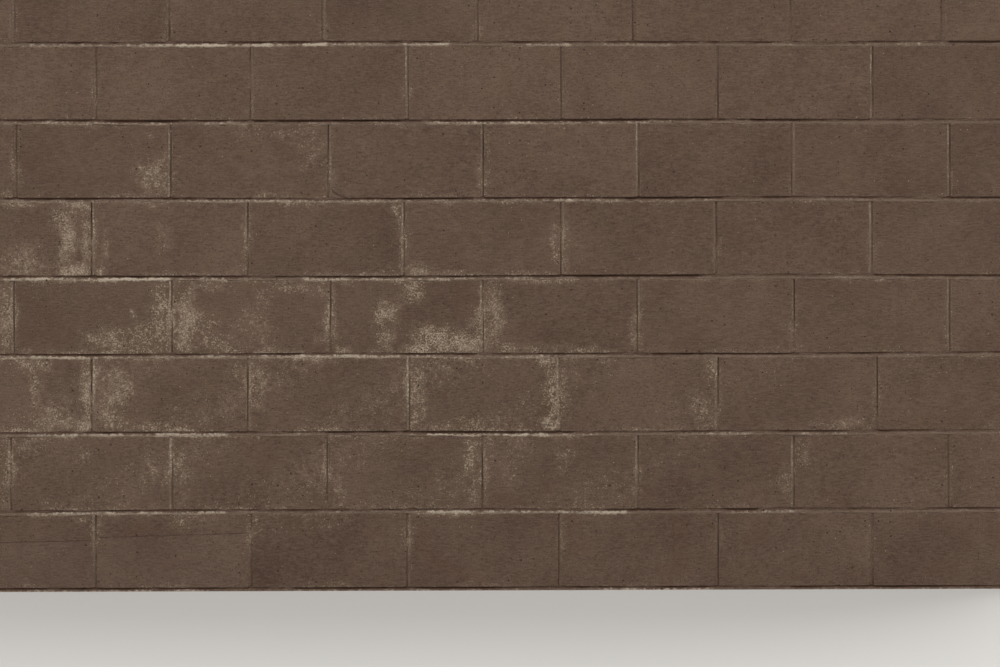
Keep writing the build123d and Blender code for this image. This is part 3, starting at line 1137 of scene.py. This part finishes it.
def roll_on_the_brown(paint):
    level = paint.vector("MULTIPLY", paint.place, FLATTENED)
    streaks = paint.noise(level, 60.0, 3.0, 0.6)
    shade = paint.clouds.swing(1.05) + paint.tone.swing(0.2) + streaks.swing(1.8)
    shade = shade + paint.mottle.swing(0.6) + paint.pits.swing(1.5) + 0.5
    paint.coat(shade, PAINT_LIGHT)
    paint.coat(paint.hue.between(0.52, 0.68) * 0.25, PAINT_RED)
    olive = (1 - paint.hue).between(0.54, 0.7) * 0.2 + paint.bloom.between(0.0, 0.6) * 0.3
    paint.coat(olive, PAINT_OLIVE)
    # Painted shade: the deepest pits are darkened.
    paint.coat(paint.deep_pits * (paint.bloom * 0.6 + 0.35), DIRT_AND_SHADE)
    paint.height = streaks * 0.5 + paint.pits * 0.6 + paint.mottle * 0.5


on_each_paint(roll_on_the_brown)

# %% [markdown]
# Only one paint has the dark lines. The mesh says how far a point lies over its block's line. A thin
# band there is dark, a little waved by the mottle, and all that lies below it is a trace pinker.

# %% Draw the dark lines
def draw_the_dark_lines(paint):
    over = paint.painted_on("over_line") + paint.mottle.swing(0.006)
    below = 1 - over.between(-0.001, 0.001)
    on_line = over.between(-0.0018, -0.0002) * (1 - over.between(0.0004, 0.0018))
    paint.coat(below * 0.14, PAINT_PINK)
    paint.coat(on_line * 0.6, DIRT_AND_SHADE)


draw_the_dark_lines(lined_paint)
print("with its lines", len(lined_paint.tree.nodes), "nodes")

# %% [markdown]
# Salts come up as pale grains over a thin pale film. The grains stand close together in a patch and
# far apart at its ragged edge. Deep pits and the cracks beside the mortar stay free of them. On worn
# edges the paint has gone too, and concrete shows.

# %% Lift the paint with salts and wear it off the edges
def lift_with_salts(paint):
    blotches = paint.noise(paint.place, 95.0, 3.0, 0.6)
    broken_up = (paint.mottle.swing(0.5) + blotches.swing(1.0)) * paint.bloom.between(0.0, 0.3)
    lifted = paint.bloom + broken_up
    smooth = paint.hue.between(0.42, 0.62)
    grainy = paint.grains + lifted.between(0.0, 0.2) * 0.1 + lifted.between(0.1, 0.85) * 0.2
    grainy = grainy.between(0.7, 0.86)
    film = lifted.between(0.0, 0.9) * (smooth * 0.15 + 0.11)
    bright = (lifted.between(0.55, 1.0) * 0.14 + 0.5) * (1 - smooth * 0.3)
    out_of_the_crack = 1 - paint.hollow.between(2.3, 3.3)
    salts = (grainy * bright + film) * out_of_the_crack * (1 - paint.deep_pits * 0.7)
    paint.coat(salts, SALT)
    paint.height = paint.height + grainy * 0.12 - paint.deep_pits * 0.25
    paint.roughness = salts * 0.1 + 0.82


def wear_off_the_edges(paint):
    paint.coat((paint.wear * 0.25 + paint.grains * 0.8).between(0.75, 1.1) * 0.3, WORN)


on_each_paint(lift_with_salts)
on_each_paint(wear_off_the_edges)

# %% [markdown]
# Lime lies in a strip below the middle of a bed and a little way down the block: a thin veil nearly
# everywhere, which is partly a painted highlight on the lip that looks up, and crusts of lime where it is
# strong. The strip is ragged above and below, and starts lower where the bed is struck deep. In the hollow
# over it is painted shade, with some dirt. The foot of a block, its lower edge just over the bed, is painted
# dark too, as painted shade where the edge turns down.

# %% Lime, painted highlight, painted shade and dirt along the beds
DRAWN_OUT = (1.0, 0.2, 1.0)


def lime_highlight_and_shade_the_beds(paint):
    along_bed = paint.vector("MULTIPLY", paint.face, DRAWN_OUT)
    waves = paint.noise(along_bed, 15.0, 4.0, 0.62)
    breaks = paint.noise(along_bed, 9.0, 4.0, 0.65)
    crumbs = paint.noise(paint.face, 95.0, 3.0, 0.65)
    under, deep, lime = (paint.painted_on(name) for name in ("under_bed", "deep", "lime"))
    ragged = waves.swing(11.0) + crumbs.swing(13.0)
    upper_end = under + ragged + 1.2 - deep * 2.6
    lower_end = under + breaks.swing(10.0) + crumbs.swing(12.0)
    strip = upper_end.between(-0.4, 3.0) * (1 - lower_end.between(5.5, 10.5))
    patchy = waves.swing(0.9) + crumbs.swing(1.6) + paint.grains.swing(0.9)
    crust = (lime + patchy).between(0.45, 1.1) * strip * lime.between(0.0, 0.1)
    # Painted highlight and lime: the thin veil lightens the lip that looks up, and the crusts are lime.
    paint.coat(lime * (breaks * 1.2 - 0.1) * strip * 0.42, LIME_AND_HIGHLIGHT)
    paint.coat(crust * 0.52, LIME_AND_HIGHLIGHT)

    # Painted shade, with some dirt: the hollow under the upper course and the crack of an upright joint are
    # darkened.
    shadow_line = (1 - upper_end.between(-2.2, 0.2)) * paint.hollow.between(1.4, 2.4)
    hollow_shade_and_dirt = (paint.hollow + crumbs.swing(3.0)).between(1.6, 4.6)
    patchy_shade_and_dirt = (waves * 1.2 + deep * 0.5 - 0.2).between(0.0, 1.0)
    paint.coat((hollow_shade_and_dirt * 0.3 + shadow_line * 0.3) * patchy_shade_and_dirt, HOLLOW_SHADE_AND_DIRT)
    # Painted shade: the lower edge of a block, just over the bed, is darkened where it turns down.
    over_foot = (paint.painted_on("over_bed") + ragged).between(3.0, 6.5)
    paint.coat(paint.wear.between(0.0, 0.5) * (1 - over_foot) * 0.5, DIRT_AND_SHADE)


on_each_paint(lime_highlight_and_shade_the_beds)

# %% [markdown]
# Concrete blocks are full of small holes that paint doesn't close. The face is split into cells, whose random
# numbers say whether a round hole is at the cell's middle and how wide it is. There are broad, sparse
# pinholes, with pale flecks of salts among them, and clusters of fine pricks. Holes and pricks are painted
# dark, as painted shade inside them.

# %% Prick the holes
PINHOLES_PER_METRE = 30
PRICKS_PER_METRE = 95
PRICK_SHAPE = (1.0, 1.5, 1.0)


def cells(paint, place, per_metre):
    """How far a point is from the middle of its cell, and the cell's random numbers."""
    sockets = {"Vector": place, "Scale": per_metre}
    away = paint.node("ShaderNodeTexVoronoi", {"voronoi_dimensions": "2D"}, sockets)
    return away, paint.node("ShaderNodeSeparateColor", {}, {"Color": away.also("Color")})


def prick_the_holes(paint):
    away, chance = cells(paint, paint.place, PINHOLES_PER_METRE)
    holes = ((chance - 0.68) * 0.24 - away).between(-0.006, 0.02)
    flecks = ((chance.also("Green") - 0.75 + paint.bloom * 0.3) * 0.2 - away).between(-0.006, 0.02)
    squeezed = paint.vector("MULTIPLY", paint.place, PRICK_SHAPE)
    away, chance = cells(paint, squeezed, PRICKS_PER_METRE)
    clusters = (paint.mottle + paint.clouds * 0.6).between(0.72, 0.92)
    pricks = ((chance - 0.66) * 0.5 - away).between(-0.01, 0.04) * clusters
    # Painted shade: holes and pricks are darkened inside.
    paint.coat(holes * 0.85, DIRT_AND_SHADE)
    paint.coat(pricks * 0.85, DIRT_AND_SHADE)
    paint.coat(flecks * 0.45, SALT)
    paint.height = paint.height - holes * 1.2 - pricks * 0.5


on_each_paint(prick_the_holes)

# %% [markdown]
# Dry masonry paint is matt. It hardly shines, and a little less where salts lie. The coats become the
# colour of one shader, and the heights its bump.

# %% Let the paint dry
SHEEN = 0.15


def let_dry(paint):
    bump = paint.node("ShaderNodeBump", {}, {"Height": paint.height, "Distance": MM})
    sockets = {"Base Color": paint.colour, "Roughness": paint.roughness, "Normal": bump}
    sockets["Specular IOR Level"] = SHEEN
    shader = paint.node("ShaderNodeBsdfPrincipled", {}, sockets)
    paint.node("ShaderNodeOutputMaterial", {}, {"Surface": shader})


on_each_paint(let_dry)

# %% [markdown]
# ## Build the wall
# Course by course, as the mason did: the blocks, then the bed and the upright joints, and at last the
# caps. Each course is two pieces, blocks and mortar, which stand for that course's solids.

# %% Lay the courses
pieces = []
for course in range(1, CAP_COURSE + 1):
    is_cap = course == CAP_COURSE
    height = CAP_HEIGHT if is_cap else BLOCK_HEIGHT
    name = "cap" if is_cap else f"course_{course}"
    blocks, mortar = Pile(f"dressed_{name}_blocks"), Pile(f"dressed_{name}_mortar")
    for number, (left, right) in enumerate(block_spans(course)):
        lay_block(blocks, course, number, left, right, height)
    lay_bed(mortar, course)
    for number, x in enumerate(head_joints(course)):
        lay_head(mortar, course, number, x, height)
    nodes = [f"{name}_blocks"]
    if has_half_blocks(course):
        nodes.append("half_cap_blocks" if is_cap else f"{name}_half_blocks")
    if is_cap:
        pieces.append(blocks.make(cap_paint, "painted_cap", nodes))
    else:
        has_line = any(lined_course == course for lined_course, number in DARK_LINES)
        pieces.append(blocks.make(lined_paint if has_line else block_paint, "painted_block", nodes))
    pieces.append(mortar.make(mortar_paint, "painted_mortar", [f"{name}_mortar"]))

for piece in pieces:
    piece.data.calc_loop_triangles()
counts = [len(piece.data.loop_triangles) for piece in pieces]
print("pieces", len(pieces), "largest", max(counts), "triangles in all", sum(counts))
